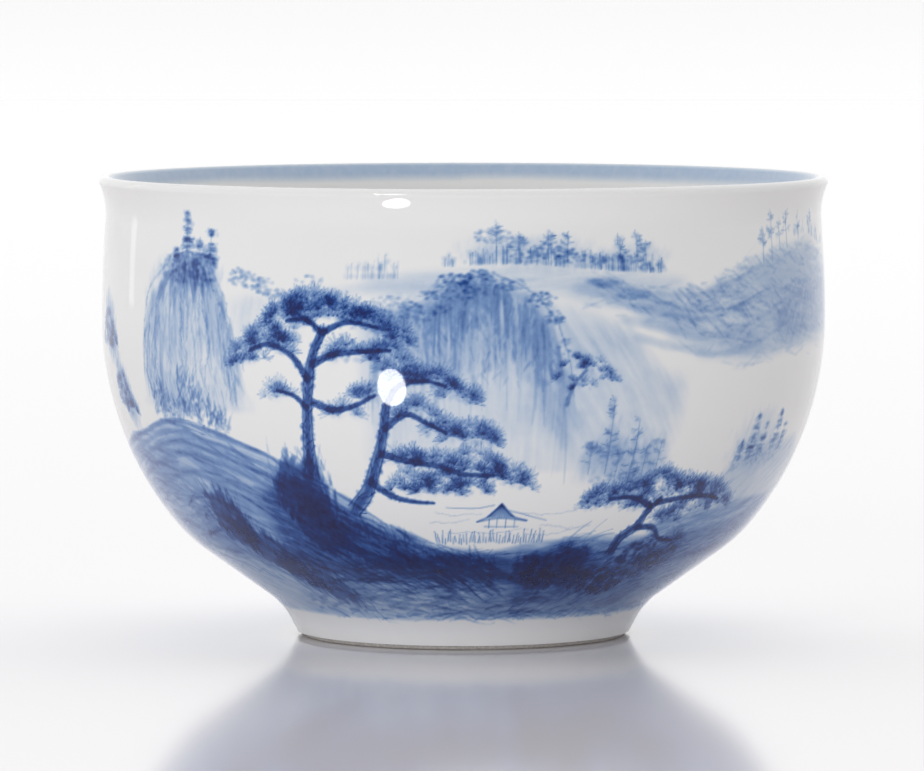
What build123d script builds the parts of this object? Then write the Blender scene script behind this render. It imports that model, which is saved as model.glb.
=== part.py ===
from build123d import *
import os
from math import copysign, cos, degrees, radians, sin

# A handleless porcelain teacup with an underglaze cobalt painting, built up the way such a cup is made:
# a clay body on a foot ring, pigment on the clay, and coats of clear glaze over both.
# Millimetres and degrees, +Z up. The origin is at the centre of the foot, where the cup stands.

# Driving dimensions
cup_height = 60.0
lip_diameter = 95.0
lip_thickness = 1.6
lip_lean = 66.0  # slope of the wall where it meets the lip, up from level
glaze_depth = 0.25  # clear glaze where it covers pigment
pigment_depth = 0.1  # cobalt lying on the clay
band_width = 2.0  # cobalt line inside the lip

# The foot
recess_radius = 18.0
recess_depth = 4.8
recess_corner = 1.2
glazed_foot_side = 1.8  # how far the outer glaze runs down the foot's side
bare_inside = 0.8  # height of the unglazed edge inside the foot
bare_corner = 0.5  # rounding of the unglazed edge

# The outside from the lip down, as pieces of (radius, turn) with left turns positive, or (length, 0)
flare = (9.0, 28.4)
upper_wall = (170.0, -4.4)
belly = (41.5, -39.5)
shoulder = (21.0, -15.0)
lower_wall = (10.0, 0.0)
foot_sweep = (9.5, 27.0)
wall_pieces = [flare, upper_wall, belly, shoulder, lower_wall, foot_sweep]

# The inside from the lip down, in the same form, as far as the nearly level floor
inner_flare_radius, inner_flare_turn = 14.0, 27.0
inner_upper_wall = (150.0, -5.0)
inner_belly = (38.0, -38.0)
inner_shoulder = (14.0, -36.0)
floor_turn = -14.0  # the floor is one arc that ends level on the axis

# What follows from them
coat_depth = glaze_depth + pigment_depth  # clear glaze where it lies on bare clay
lip_roll = lip_thickness / 2
lip_centre = Vector(lip_diameter / 2 - lip_roll, cup_height - lip_roll)
lip_outward = Vector(sin(radians(lip_lean)), -cos(radians(lip_lean)))
outer_start = lip_centre + lip_outward * lip_roll
inner_start = lip_centre - lip_outward * lip_roll
downward = 180.0 + lip_lean  # heading at the lip, going down either face
foot_side_heading = downward + sum(turn for _, turn in wall_pieces if turn)
band_turn = degrees(band_width / inner_flare_radius)
band_pieces = [(inner_flare_radius, band_turn)]
well_pieces = [
    (inner_flare_radius, inner_flare_turn - band_turn),
    inner_upper_wall,
    inner_belly,
    inner_shoulder,
]
recess_pieces = [(recess_corner, 90.0), (recess_radius - recess_corner, 0.0)]


def direction(heading):
    """The unit vector of a heading in degrees."""
    return Vector(cos(radians(heading)), sin(radians(heading)))


def trace(start, heading, pieces, shift=0.0):
    """Draws pieces end to end, each tangent to the last, and returns them.

    start and heading belong to the glazed surface. shift moves the whole line to the right of its
    direction of travel, so that arcs stay concentric with those of the surface.
    """
    point = start + direction(heading - 90) * shift
    drawn = []
    for size, turn in pieces:
        if turn:
            piece = JernArc(point, direction(heading), size + shift * copysign(1, turn), turn)
        else:
            piece = Line(point, point + direction(heading) * size)
        drawn.append(piece)
        point = piece @ 1
        heading += turn
    return drawn


def trace_floor(last_piece):
    """Draws the arc that carries a line of the inside on to the axis, where it is level."""
    start = last_piece @ 1
    radius = start.X / sin(radians(-floor_turn))
    return JernArc(start, direction(180 - floor_turn), radius, floor_turn)


def coat(start, heading, pieces, near, far, floor=False):
    """The face between two lines that follow a surface, near and far to the right of it.

    With floor, both lines carry on over the floor to the axis.
    """
    with BuildSketch() as section:
        with BuildLine():
            upper = trace(start, heading, pieces, near)
            lower = trace(start, heading, pieces, far)
            Line(upper[0] @ 0, lower[0] @ 0)
            if floor:
                upper.append(trace_floor(upper[-1]))
                lower.append(trace_floor(lower[-1]))
            Line(upper[-1] @ 1, lower[-1] @ 1)
        make_face()
    return section.sketch


def clay():
    """Half the section of the clay: wall, floor and foot in one, with the foot's bare edge rounded."""
    with BuildSketch() as section:
        with BuildLine():
            CenterArc(lip_centre, lip_roll - coat_depth, lip_lean - 90, 180)
            outside = trace(outer_start, downward, wall_pieces, coat_depth)
            sweep_end = outside[-1] @ 1
            side_length = sweep_end.Y / -direction(foot_side_heading).Y
            side = Line(sweep_end, sweep_end + direction(foot_side_heading) * side_length)
            rise = (recess_depth - recess_corner, 0.0)
            recess = trace(Vector(recess_radius, 0), 90, [rise] + recess_pieces, coat_depth)
            Line(side @ 1, recess[0] @ 0)
            inside = trace(inner_start, downward, band_pieces + well_pieces, -coat_depth)
            floor = trace_floor(inside[-1])
            Line(recess[-1] @ 1, floor @ 1)
        make_face()
        fillet(section.vertices().group_by(Axis.Y)[0], bare_corner)
    return section.sketch


os.makedirs("parts", exist_ok=True)

floor_underside = Plane.XY.offset(recess_depth + coat_depth)
wall_end = trace(outer_start, downward, wall_pieces)[-1] @ 1
band_end = trace(inner_start, downward, band_pieces)[-1] @ 1

# Clay wall and floor, down to the top of the foot recess
with BuildPart() as porcelain_body:
    with BuildSketch(Plane.XZ):
        add(clay())
    revolve(axis=Axis.Z)
    split(bisect_by=floor_underside, keep=Keep.TOP)
porcelain_body.part.label = "porcelain_body"
export_step(porcelain_body.part, "parts/porcelain_body.step")

# Clay ring under the floor, with a rounded bare edge that the cup stands on
with BuildPart() as foot_ring:
    with BuildSketch(Plane.XZ):
        add(clay())
    revolve(axis=Axis.Z)
    split(bisect_by=floor_underside, keep=Keep.BOTTOM)
foot_ring.part.label = "foot_ring"
export_step(foot_ring.part, "parts/foot_ring.step")

# Cobalt painting on the outside of the wall, under the glaze
with BuildPart() as landscape_painting:
    with BuildSketch(Plane.XZ):
        add(coat(outer_start, downward, wall_pieces, glaze_depth, coat_depth))
    revolve(axis=Axis.Z)
landscape_painting.part.label = "landscape_painting"
export_step(landscape_painting.part, "parts/landscape_painting.step")

# Clear glaze over the painting and down the foot's side
with BuildPart() as outer_glaze:
    with BuildSketch(Plane.XZ):
        add(coat(outer_start, downward, wall_pieces, 0, glaze_depth))
        add(coat(wall_end, foot_side_heading, [(glazed_foot_side, 0.0)], 0, coat_depth))
    revolve(axis=Axis.Z)
outer_glaze.part.label = "outer_glaze"
export_step(outer_glaze.part, "parts/outer_glaze.step")

# Rounded bead of glaze over the lip, where the outer and inner coats meet
with BuildPart() as lip_glaze:
    with BuildSketch(Plane.XZ):
        with BuildLine():
            over = CenterArc(lip_centre, lip_roll, lip_lean - 90, 180)
            under = CenterArc(lip_centre, lip_roll - coat_depth, lip_lean - 90, 180)
            Line(over @ 0, under @ 0)
            Line(over @ 1, under @ 1)
        make_face()
    revolve(axis=Axis.Z)
lip_glaze.part.label = "lip_glaze"
export_step(lip_glaze.part, "parts/lip_glaze.step")

# Cobalt line painted inside, just below the lip
with BuildPart() as inner_rim_band:
    with BuildSketch(Plane.XZ):
        add(coat(inner_start, downward, band_pieces, -glaze_depth, -coat_depth))
    revolve(axis=Axis.Z)
inner_rim_band.part.label = "inner_rim_band"
export_step(inner_rim_band.part, "parts/inner_rim_band.step")

# Clear glaze poured over the whole inside
with BuildPart() as inner_glaze:
    with BuildSketch(Plane.XZ):
        add(coat(inner_start, downward, band_pieces, 0, -glaze_depth))
        add(coat(band_end, downward + band_turn, well_pieces, 0, -coat_depth, floor=True))
    revolve(axis=Axis.Z)
inner_glaze.part.label = "inner_glaze"
export_step(inner_glaze.part, "parts/inner_glaze.step")

# Clear glaze in the recess under the floor, stopping short of the bare edge
with BuildPart() as foot_well_glaze:
    with BuildSketch(Plane.XZ):
        rise = (recess_depth - recess_corner - bare_inside, 0.0)
        add(coat(Vector(recess_radius, bare_inside), 90, [rise] + recess_pieces, 0, coat_depth))
    revolve(axis=Axis.Z)
foot_well_glaze.part.label = "foot_well_glaze"
export_step(foot_well_glaze.part, "parts/foot_well_glaze.step")
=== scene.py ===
import math

import bpy
import numpy as np
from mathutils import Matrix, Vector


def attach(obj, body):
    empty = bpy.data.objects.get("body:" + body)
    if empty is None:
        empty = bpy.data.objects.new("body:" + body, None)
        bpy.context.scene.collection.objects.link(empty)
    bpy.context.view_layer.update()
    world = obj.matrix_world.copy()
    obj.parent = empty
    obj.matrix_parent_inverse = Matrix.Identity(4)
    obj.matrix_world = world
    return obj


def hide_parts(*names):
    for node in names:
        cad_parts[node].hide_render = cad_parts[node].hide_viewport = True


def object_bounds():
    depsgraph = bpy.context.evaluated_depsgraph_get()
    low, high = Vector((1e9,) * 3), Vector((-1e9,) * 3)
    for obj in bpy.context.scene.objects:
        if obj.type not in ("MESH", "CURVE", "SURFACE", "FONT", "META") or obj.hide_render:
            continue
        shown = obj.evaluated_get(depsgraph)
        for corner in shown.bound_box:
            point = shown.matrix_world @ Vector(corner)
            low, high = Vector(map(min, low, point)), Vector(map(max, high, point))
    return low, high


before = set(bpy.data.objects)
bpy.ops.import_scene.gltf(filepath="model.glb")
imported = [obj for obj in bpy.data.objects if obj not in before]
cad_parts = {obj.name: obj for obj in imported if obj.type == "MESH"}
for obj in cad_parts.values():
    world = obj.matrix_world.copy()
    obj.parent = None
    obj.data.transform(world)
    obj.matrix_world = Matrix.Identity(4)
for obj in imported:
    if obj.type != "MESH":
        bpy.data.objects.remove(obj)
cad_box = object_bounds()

# A porcelain teacup painted in cobalt under a clear glaze. The CAD says where every surface lies; this
# script turns the same surfaces more finely, paints a landscape round the wall with a small brush
# engine, and lights the cup. Outlines and the painting are in millimetres and degrees. Azimuth 0 faces
# the camera, which stands on the -Y side, and grows to the right.
MM = 0.001
GLAZE_MM = 0.34  # a shade thinner than the CAD coat, so that it stays clear of the clay

cup_mm = (cad_box[1][2] - cad_box[0][2]) / MM
lip_radius_mm = cad_box[1][0] / MM
lip_roll_mm = 0.8
lip_lean = 66.0
lip_centre = np.array([lip_radius_mm - lip_roll_mm, cup_mm - lip_roll_mm])
lip_outward = np.array([math.sin(math.radians(lip_lean)), -math.cos(math.radians(lip_lean))])
downward = 180.0 + lip_lean

# The outside and the inside from the lip down, as (radius, turn) arcs or (length, 0) lines
outside = [(9.0, 28.4), (170.0, -4.4), (41.5, -39.5), (21.0, -15.0), (10.0, 0), (9.5, 27.0), (1.8, 0)]
inside = [(14.0, 27.0), (150.0, -5.0), (38.0, -38.0), (14.0, -36.0)]
floor_turn = -14.0
recess_radius, recess_top, recess_corner, recess_edge = 18.0, 4.8, 1.2, 0.8


def trace(start, heading, arcs, step):
    """Points and headings along arcs laid end to end, each tangent to the last."""
    points, headings = [np.array(start, float)], [heading]
    for size, turn in arcs:
        length = size if turn == 0 else size * math.radians(abs(turn))
        count = max(2, round(length / step))
        for _ in range(count):
            half = turn / count / 2
            chord = length / count if turn == 0 else 2 * size * math.sin(math.radians(abs(half)))
            way = math.radians(headings[-1] + half)
            points.append(points[-1] + chord * np.array([math.cos(way), math.sin(way)]))
            headings.append(headings[-1] + 2 * half)
    return np.array(points), np.array(headings)


def thicken(points, headings, depth, rows):
    """A closed outline: the points, and a coarser line at a depth to the right of their direction."""
    pick = np.unique(np.linspace(0, len(points) - 1, rows).round().astype(int))[::-1]
    way = np.radians(headings[pick] - 90)
    behind = points[pick] + depth * np.stack([np.cos(way), np.sin(way)], 1)
    behind[points[pick][:, 0] < 1e-6, 0] = 0.0
    return np.vstack([points, behind])


def lathe(name, outline, columns, slot, *nodes):
    """A closed smooth piece turned from a closed outline of (radius, height) points.

    An outline that meets the axis does so at its own two ends. The piece stands for the named CAD nodes.
    """
    r, z = np.asarray(outline).T
    if np.sum(r * np.roll(z, -1) - np.roll(r, -1) * z) < 0:
        r, z = r[::-1], z[::-1]
    poles = np.flatnonzero(r < 1e-6)
    if len(poles):
        first = poles[1] if poles[1] - poles[0] == 1 else poles[0]
        r, z = np.roll(r, -first), np.roll(z, -first)
    ends = z[[0, -1]]
    if len(poles):
        r, z = r[1:-1], z[1:-1]
    rows = len(r)
    turn = np.arange(columns) * 2 * math.pi / columns
    points = np.stack(np.broadcast_arrays(r[:, None] * np.sin(turn), -r[:, None] * np.cos(turn), z[:, None]),
                      -1)
    points = points.reshape(-1, 3)
    row = np.arange(rows - 1 if len(poles) else rows)[:, None]
    here, beside = np.arange(columns)[None, :], (np.arange(columns)[None, :] + 1) % columns
    above = (row + 1) % rows
    quads = np.stack(
        [row * columns + here, row * columns + beside, above * columns + beside, above * columns + here], -1
    ).reshape(-1, 4)
    corners, sizes = [quads.ravel()], [np.full(len(quads), 4)]
    if len(poles):
        points = np.vstack([points, [[0, 0, ends[0]], [0, 0, ends[1]]]])
        low, high = rows * columns, rows * columns + 1
        top = (rows - 1) * columns
        here, beside = here[0], beside[0]
        corners.append(np.stack([0 * here + low, beside, here], 1).ravel())
        corners.append(np.stack([top + here, top + beside, 0 * here + high], 1).ravel())
        sizes.append(np.full(2 * columns, 3))
    corners, sizes = np.concatenate(corners), np.concatenate(sizes)
    mesh = bpy.data.meshes.new(name)
    mesh.vertices.add(len(points))
    mesh.vertices.foreach_set("co", (points * MM).ravel())
    mesh.loops.add(len(corners))
    mesh.loops.foreach_set("vertex_index", corners.astype(np.int32))
    mesh.polygons.add(len(sizes))
    mesh.polygons.foreach_set("loop_start", (np.cumsum(sizes) - sizes).astype(np.int32))
    mesh.update(calc_edges=True)
    mesh.polygons.foreach_set("use_smooth", np.ones(len(sizes), bool))
    mesh.set_sharp_from_angle(angle=math.radians(50))
    piece = bpy.data.objects.new(name, mesh)
    bpy.context.scene.collection.objects.link(piece)
    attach(piece, "root")
    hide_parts(*nodes)
    return piece


# ---- The painting, on the wall unrolled: x is millimetres of girth from the middle, z is height
girth_mm = float(lip_centre[0] + lip_outward[0] * lip_roll_mm)

DOTS_PER_MM = 8
MM_PER_DEGREE = math.radians(girth_mm)
canvas_width = round(2 * math.pi * girth_mm * DOTS_PER_MM)
canvas_height = round(cup_mm * DOTS_PER_MM)
rng = np.random.default_rng(11)
lattice = rng.random((256, 256)).astype(np.float32)
grid_x = ((np.arange(canvas_width) + 0.5) / DOTS_PER_MM - math.pi * girth_mm).astype(np.float32)[None, :]
grid_z = ((np.arange(canvas_height) + 0.5) / DOTS_PER_MM).astype(np.float32)[:, None]
washes = np.zeros((canvas_height, canvas_width), np.float32)
dabs = []


def noise(u, v):
    """Smooth noise from 0 to 1 over two arrays of coordinates, one lattice cell to the unit."""
    iu, iv = np.floor(u).astype(np.int32), np.floor(v).astype(np.int32)
    fu, fv = u - iu, v - iv
    fu, fv = fu * fu * (3 - 2 * fu), fv * fv * (3 - 2 * fv)
    a, b, c, d = (lattice[(iv + j) & 255, (iu + i) & 255] for j in (0, 1) for i in (0, 1))
    return (a * (1 - fu) + b * fu) * (1 - fv) + (c * (1 - fu) + d * fu) * fv


def grain(angle, along, across, seed):
    """Noise stretched along an angle in degrees, as a loaded brush leaves it."""
    c, s = math.cos(math.radians(angle)), math.sin(math.radians(angle))
    u, v = grid_x * c + grid_z * s, grid_z * c - grid_x * s
    u, v = u / along + seed * 17.3, v / across + seed * 31.7
    return 0.55 * noise(u, v) + 0.3 * noise(u * 2.1, v * 2.1) + 0.15 * noise(u * 4.3, v * 4.3)


def smooth(t):
    """Eases from 0 to 1 as t does."""
    t = np.clip(t, 0.0, 1.0)
    return t * t * (3 - 2 * t)


def edge_line(points):
    """A rounded line through (azimuth, height) points, as a height for each column."""
    a, h = np.array(points, float).T
    x = grid_x[0] / MM_PER_DEGREE
    k = np.clip(np.searchsorted(a, x) - 1, 0, len(a) - 2)
    t = smooth((x - a[k]) / (a[k + 1] - a[k]))
    return (h[k] * (1 - t) + h[k + 1] * t)[None, :]


def between(low, high, soft):
    """A mask that fades in at two azimuths."""
    x = grid_x / MM_PER_DEGREE
    return smooth((x - low) / soft + 0.5) * smooth((high - x) / soft + 0.5)


def dab(x, z, radius, depth):
    """Soft round spots of pigment. depth is how dark the middle of each becomes."""
    dabs.append(np.stack([np.ravel(q) for q in np.broadcast_arrays(x, z, radius, depth)]).astype(np.float32))


def hairs(x, z, angle, length, width, depth, bend=0.0, tip=0.25):
    """Tapered brush lines from x, z, in degrees and millimetres. Every argument may be an array."""
    x, z, angle, length, width, depth, bend = (
        np.ravel(q)[:, None].astype(float) for q in np.broadcast_arrays(x, z, angle, length, width, depth,
                                                                        bend)
    )
    steps = max(4, int(math.ceil(length.max() / (0.22 * max(width.min(), 0.12)))))
    steps = min(steps, 400)
    t = np.linspace(0, 1, steps)[None, :]
    heading = np.radians(angle + bend * t)
    reach = length / steps
    px = x + np.cumsum(np.cos(heading), axis=1) * reach
    pz = z + np.cumsum(np.sin(heading), axis=1) * reach
    radius = 0.5 * width * (tip + (1 - tip) * np.sqrt(np.clip(1 - t, 0, 1)) * np.clip(t * 12 + 0.4, 0, 1))
    dab(px, pz, radius, depth * np.clip(reach / (1.18 * radius), 0, 1))


def curve(points, spacing):
    """Points along a smooth line through (azimuth, height) control points, in millimetres."""
    p = np.array(points, float) * [MM_PER_DEGREE, 1.0]
    p = np.vstack([2 * p[0] - p[1], p, 2 * p[-1] - p[-2]])
    out = []
    for a, b, c, d in zip(p[:-3], p[1:-2], p[2:-1], p[3:]):
        n = max(2, int(np.hypot(*(c - b)) / spacing))
        t = (np.arange(n) / n)[:, None]
        square, cube = 2 * a - 5 * b + 4 * c - d, 3 * b - a - 3 * c + d
        out.append(0.5 * (2 * b + (c - a) * t + square * t**2 + cube * t**3))
    return np.vstack(out + [p[-2][None, :]])


def line(points, start, end, depth, rough=0.0):
    """One brush line through (azimuth, height) points, from one width to another."""
    p = curve(points, 0.08)
    t = np.linspace(0, 1, len(p))
    width = start + (end - start) * t
    p = p + rough * np.cumsum(rng.normal(size=p.shape), axis=0) * 0.03
    width = np.maximum(width * (1 + rough * 0.5 * (noise(t * len(p) * 0.08,
                                                         t * 0 + rng.random() * 99) - 0.5)), 0.1)
    dab(p[:, 0], p[:, 1], width / 2, depth * 0.08 / (1.18 * width / 2))


def limb(points, start, end, depth):
    """A trunk or branch: a mottled body between two darker sides, with bark marks across it."""
    p = curve(points, 0.12)
    n = len(p)
    t = np.linspace(0, 1, n)
    width = start + (end - start) * t ** 0.8
    width = width * (0.85 + 0.3 * noise(t * n * 0.05, np.full(n, rng.random() * 99)))
    d = np.gradient(p, axis=0)
    d /= np.hypot(*d.T)[:, None] + 1e-9
    side = np.stack([-d[:, 1], d[:, 0]], 1)
    dab(p[:, 0], p[:, 1], width * 0.55, depth * 0.75 * 0.12 / (0.6 * width * 0.55))
    for s in (-1, 1):
        q = p + side * (width * 0.42 * s)[:, None]
        dab(q[:, 0], q[:, 1], np.full(n, 0.16), depth * (1.2 if s < 0 else 0.9) * 0.12 / (1.18 * 0.16))
    k = rng.integers(0, n, n // 3)
    q = p[k] + side[k] * (width[k] * rng.choice([-0.52, 0.52], len(k)))[:, None]
    dab(q[:, 0], q[:, 1], rng.uniform(0.15, 0.42, len(k)), depth * rng.uniform(0.15, 0.55, len(k)))
    k = np.arange(0, n, 3)
    k = k[width[k] > 0.6]
    if len(k):
        q = p[k] + side[k] * (width[k] * rng.uniform(-0.35, 0.35, len(k)))[:, None]
        turn = np.degrees(np.arctan2(d[k, 1], d[k, 0]))
        hairs(q[:, 0], q[:, 1], turn + rng.uniform(-50, 50, len(k)), width[k] * 0.5, 0.22, depth * 0.9)


def foliage(az, z, width, height, tilt=0.0, depth=1.0, needle=1.6):
    """A pad of pine needles: fans of fine lines over a soft wash, darker below."""
    count = max(4, int(width * height * 1.5))
    u, v = rng.uniform(-1, 1, count), rng.random(count) ** 0.8
    cx = az * MM_PER_DEGREE + u * width / 2
    cz = z + v * height * np.sqrt(1 - u * u) * 0.85 + tilt * u * width / 2
    blades = 12
    spread = np.linspace(-75, 75, blades)[None, :]
    angle = 90 - 35 * u[:, None] + spread + rng.uniform(-8, 8, (count, blades))
    length = needle * rng.uniform(0.6, 1.1, (count, blades)) * (0.75 + 0.25 * v[:, None])
    tone = depth * (1.15 - 0.45 * v[:, None]) * rng.uniform(0.6, 1.2, (count, 1)) * np.ones((1, blades))
    hairs(cx[:, None] + 0 * angle, cz[:, None] + 0 * angle, angle, length, 0.2, tone)
    dab(cx, cz + 0.45, rng.uniform(0.8, 1.6, count), 0.12 * depth)
    low = rng.uniform(-0.8, 0.8, count // 2)
    dab(
        az * MM_PER_DEGREE + low * width / 2, z + tilt * low * width / 2 + rng.uniform(0, 0.5, count // 2),
        rng.uniform(0.25, 0.55, count // 2), 0.3 * depth,
    )


def dots(az, z, width, height, count, size, depth, flat=0.6):
    """Moss dots: short level touches of a full brush, scattered in an oval."""
    a, r = rng.uniform(0, 2 * math.pi, count), np.sqrt(rng.random(count))
    x = az * MM_PER_DEGREE + r * np.cos(a) * width / 2
    h = z + r * np.sin(a) * height / 2
    for k in (-0.5, 0, 0.5):
        dab(x + k * size * flat, h, size * rng.uniform(0.35, 0.65, count),
            depth * rng.uniform(0.4, 1.0, count) * 0.5)


def conifer(az, z, height, depth):
    """A small far fir: a stem with short drooping tiers that widen downwards."""
    x = az * MM_PER_DEGREE
    hairs(x, z, 90 + rng.uniform(-3, 3), height, 0.3, depth * 0.8)
    tiers = max(5, int(height * 4))
    t = rng.uniform(0.12, 0.98, tiers)
    for s in (-1, 1):
        hairs(
            x + 0 * t, z + t * height, 90 - s * (92 + rng.uniform(-25, 25, tiers)),
            ((1 - t) * height * 0.26 + 0.4) * rng.uniform(0.4, 1.1, tiers), 0.45,
            depth * rng.uniform(0.4, 0.9, tiers),
        )
    for _ in range(6):
        tuft = rng.uniform(0.2, 0.55, tiers)
        dab(x + rng.normal(size=tiers) * (0.3 + 0.5 * (1 - t)), z + t * height, tuft, depth * 0.26)


def thin_tree(az, z, height, depth, crown=0.5):
    """A tall thin tree: a straight stem, short side twigs and small tufts of leaf."""
    x = az * MM_PER_DEGREE
    hairs(x, z, 90 + rng.uniform(-2, 2), height, 0.34, depth, tip=0.5)
    n = int(height * 1.7)
    t = rng.uniform(1 - crown, 1.0, n)
    s = rng.choice([-1, 1], n)
    reach = rng.uniform(0.5, 1.5, n) * (1.25 - t)
    hairs(x + 0 * t, z + t * height, 90 - s * rng.uniform(60, 95, n), reach + 0.4, 0.22, depth * 0.8)
    tx, tz = x + s * reach * rng.uniform(0.3, 1, n), z + t * height + rng.uniform(-0.2, 0.3, n)
    dab(tx, tz, rng.uniform(0.3, 0.75, n), depth * 0.32)
    hairs(tx, tz, rng.uniform(20, 160, n), 0.7, 0.22, depth * 0.6)


def tree_row(low, high, z_of, height, count, depth):
    """A far row of trees along a ridge, as small upright touches with tufts."""
    a = np.sort(rng.uniform(low, high, count))
    h = np.interp(a, *np.array(z_of, float).T)
    x = a * MM_PER_DEGREE
    tall = height * rng.uniform(0.4, 1.1, count)
    hairs(x, h - 0.3, 90 + rng.uniform(-6, 6, count), tall, 0.28, depth * rng.uniform(0.5, 1.0, count))
    dab(x, h + tall * 0.6, rng.uniform(0.35, 0.7, count), depth * 0.28)
    dab(x + rng.normal(size=count) * 0.5, h + tall * 0.9, rng.uniform(0.2, 0.5, count), depth * 0.2)
    dab(x + rng.normal(size=count) * 0.5, h + 0.1, rng.uniform(0.3, 0.7, count), depth * 0.3)


def fibres(top, spread, count, depth, length, sway, width=0.32):
    """Long hanging texture lines down a rock face, from a line of (azimuth, height) points."""
    a, h = np.array(top, float).T
    pick = rng.uniform(a[0], a[-1], count)
    z = np.interp(pick, a, h) - rng.uniform(0, 1, count) ** 2 * length * 0.55
    middle = (a[0] + a[-1]) / 2
    out = (pick - middle) / ((a[-1] - a[0]) / 2)
    hairs(
        pick * MM_PER_DEGREE, z, -90 + out * spread + rng.normal(size=count) * 3,
        length * rng.uniform(0.25, 0.8, count), width * rng.uniform(0.6, 1.6, count),
        depth * rng.uniform(0.25, 1.0, count), bend=-out * sway,
    )


def column_at(x):
    """The canvas column under each place, in millimetres round the wall."""
    return np.clip(((x + math.pi * girth_mm) * DOTS_PER_MM).astype(int), 0, canvas_width - 1)


def scatter(count, low, high, top, bottom):
    """Random places between two edge lines, in millimetres, with each one's share of the way down."""
    x = rng.uniform(low, high, count) * MM_PER_DEGREE
    column = column_at(x)
    share = rng.random(count)
    upper, lower = top[0, column], bottom[0, column]
    keep = upper > lower
    return x[keep], (upper - (upper - lower) * share)[keep], share[keep]


def lay_dabs():
    """Adds up every dab as optical depth on the canvas, which wraps round the cup."""
    total = np.zeros(canvas_width * canvas_height)
    x, z, r, d = np.concatenate(dabs, axis=1)
    x = (x + math.pi * girth_mm) * DOTS_PER_MM - 0.5
    z = z * DOTS_PER_MM - 0.5
    r = np.maximum(r * DOTS_PER_MM, 0.75)
    reach = np.ceil(r).astype(int)
    for k in np.unique(reach):
        every = np.flatnonzero(reach == k)
        block = max(1, 4_000_000 // (2 * k + 1) ** 2)
        o = np.arange(-k, k + 1)
        for start in range(0, len(every), block):
            s = every[start : start + block]
            ix, iz = np.round(x[s]).astype(int), np.round(z[s]).astype(int)
            dx = ix[:, None, None] + o[None, None, :]
            dz = iz[:, None, None] + o[None, :, None]
            far = ((dx - x[s][:, None, None]) ** 2 + (dz - z[s][:, None, None]) ** 2) / (r[s] ** 2)[:, None,
                                                                                                    None]
            w = np.clip(1 - far, 0, 1) ** 1.5 * d[s][:, None, None]
            inside = (dz >= 0) & (dz < canvas_height) & (w > 0)
            at = (dz * canvas_width + dx % canvas_width)[inside]
            total += np.bincount(at, w[inside], canvas_width * canvas_height)
    return total.reshape(canvas_height, canvas_width).astype(np.float32)


def slope(top, bottom, depth, low, high, soft=0.6, fade=0.0, angle=0.0, contrast=0.5, along=4.0, across=0.4):
    """A wash between two edge lines, streaked along an angle. fade is the share lost by its foot."""
    global washes
    upper, lower = edge_line(top), edge_line(bottom)
    share = np.clip((upper - grid_z) / np.maximum(upper - lower, 0.5), 0, 1)
    body = smooth((upper - grid_z) / soft) * smooth((grid_z - lower) / soft)
    streaks = 1 - contrast + 2 * contrast * grain(angle, along, across, rng.random())
    clouds = 0.65 + 0.7 * grain(0, 7.0, 4.0, rng.random())
    washes = washes + depth * body * (1 - fade * share) * streaks * clouds * between(low, high, 5.0)


RAGGED = 0.9  # how far the edge of a pool wanders, as a share of its radius


def pool(az, z, width, height, depth, soft=0.5, tilt=0.0):
    """A pooled wash in an uneven oval. tilt is its rise per millimetre to the right."""
    global washes
    dx = grid_x - az * MM_PER_DEGREE
    dz = grid_z - z - tilt * dx
    far = np.hypot(dx / (width / 2), dz / (height / 2)) + RAGGED * (grain(80, 1.6, 0.6, rng.random()) - 0.5)
    washes = washes + depth * smooth((1 - far) / soft + 0.5)


def strokes(top, bottom, low, high, count, angle, length, width, depth, follow=0.0, bend=0.0, wander=8.0):
    """Brush lines scattered over a slope. follow turns them towards the line of its top edge."""
    upper = edge_line(top)
    x, z, _ = scatter(count, low, high, upper, edge_line(bottom))
    n = len(x)
    column = column_at(x)
    lean = np.degrees(np.arctan(np.gradient(upper[0]) * DOTS_PER_MM))[column] * follow
    hairs(
        x, z, angle + lean + rng.normal(size=n) * wander, length * rng.uniform(0.4, 1.3, n),
        width * rng.uniform(0.6, 1.5, n), depth * rng.uniform(0.25, 1.0, n), bend,
    )


# The picture, back to front. Places are (azimuth, height), sizes and lengths are in millimetres, and
# depth is how much cobalt is laid: 0.3 is a pale wash, 1 a brush line, 3 a dark pool.

# ---- Far hills across the mist, palest of all
far_top = [(14, 49), (20, 49.8), (30, 48.2), (38, 47.6), (45, 50), (52, 51.6), (60, 53), (70, 53.6),
           (80, 51.5), (95, 47), (110, 44), (125, 46.5), (140, 45), (160, 41), (175, 38)]
crest_wash = [(-18, 49.4), (-4, 50.8), (10, 51.4), (24, 50.6), (40, 49.6)]
far_foot = [(14, 45.5), (25, 44), (30, 41.5), (35, 39), (40, 37.4), (50, 36.6), (62, 37.5), (80, 38),
            (100, 36), (125, 38), (150, 36), (175, 35)]
slope(far_top, far_foot, 0.72, 16, 170, soft=3.2, fade=0.15, angle=-8, contrast=0.45, along=6, across=0.7)
strokes(far_top, far_foot, 18, 165, 520, 0, 3.2, 0.75, 0.24, follow=0.7, wander=14)
strokes([(36, 48), (48, 50), (60, 52.5), (80, 51)], [(36, 41), (48, 40), (80, 41)], 36, 80, 330, -12, 2.2,
        0.7, 0.4, wander=14)
for drop in (0.0, 2.2, 4.6, 7.0):
    line([(20 + drop, 48.4 - drop), (27 + drop, 47 - drop), (36 + drop, 45.6 - drop),
          (44 + drop, 46.6 - drop), (54 + drop, 49 - drop)], 1.9, 1.0, 0.34, rough=0.6)
strokes(far_top, [(20, 46.5), (40, 42), (60, 43)], 20, 60, 220, -34, 2.6, 0.6, 0.36, wander=10)
slope(crest_wash, [(-18, 46), (40, 46)], 0.3, -15, 36, soft=2.0, angle=4, contrast=0.6)
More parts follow.
